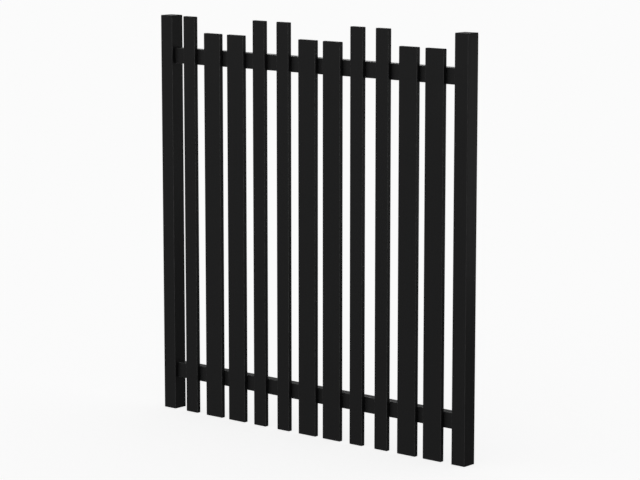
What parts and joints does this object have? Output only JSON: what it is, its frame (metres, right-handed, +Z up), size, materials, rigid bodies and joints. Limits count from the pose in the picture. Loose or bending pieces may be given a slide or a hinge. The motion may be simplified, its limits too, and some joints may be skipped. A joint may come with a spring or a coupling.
{
  "type": "pedestrian gate",
  "caption": "Pedestrian gate leaf: square uprights joined by flat rails, with a row of narrow tall and wide short pickets on the front, hung by hinges from an upright.",
  "frame": {"origin": "foot of the left upright's outer face, half way through its depth, on the face that hinges screw to", "axes": "+X along the gate to the right upright, +Y from the picket side to the back, +Z up"},
  "size_m": [1.25, 0.05, 1.3],
  "materials": {
    "black_powder_coat": "satin",
    "black_cap_plastic": "matte"
  },
  "bodies": {
    "root": {"left_upright": "black_powder_coat", "left_upright_top_cap": "black_cap_plastic", "left_upright_foot_plug": "black_cap_plastic", "right_upright": "black_powder_coat", "right_upright_top_cap": "black_cap_plastic", "right_upright_foot_plug": "black_cap_plastic", "lower_rail": "black_powder_coat", "upper_rail": "black_powder_coat", "picket_01": "black_powder_coat", "picket_01_top_cap": "black_cap_plastic", "picket_01_bottom_cap": "black_cap_plastic", "picket_02": "black_powder_coat", "picket_02_top_cap": "black_cap_plastic", "picket_02_bottom_cap": "black_cap_plastic", "picket_03": "black_powder_coat", "picket_03_top_cap": "black_cap_plastic", "picket_03_bottom_cap": "black_cap_plastic", "picket_04": "black_powder_coat", "picket_04_top_cap": "black_cap_plastic", "picket_04_bottom_cap": "black_cap_plastic", "picket_05": "black_powder_coat", "picket_05_top_cap": "black_cap_plastic", "picket_05_bottom_cap": "black_cap_plastic", "picket_06": "black_powder_coat", "picket_06_top_cap": "black_cap_plastic", "picket_06_bottom_cap": "black_cap_plastic", "picket_07": "black_powder_coat", "picket_07_top_cap": "black_cap_plastic", "picket_07_bottom_cap": "black_cap_plastic", "picket_08": "black_powder_coat", "picket_08_top_cap": "black_cap_plastic", "picket_08_bottom_cap": "black_cap_plastic", "picket_09": "black_powder_coat", "picket_09_top_cap": "black_cap_plastic", "picket_09_bottom_cap": "black_cap_plastic", "picket_10": "black_powder_coat", "picket_10_top_cap": "black_cap_plastic", "picket_10_bottom_cap": "black_cap_plastic", "picket_11": "black_powder_coat", "picket_11_top_cap": "black_cap_plastic", "picket_11_bottom_cap": "black_cap_plastic"}
  },
  "joints": []
}
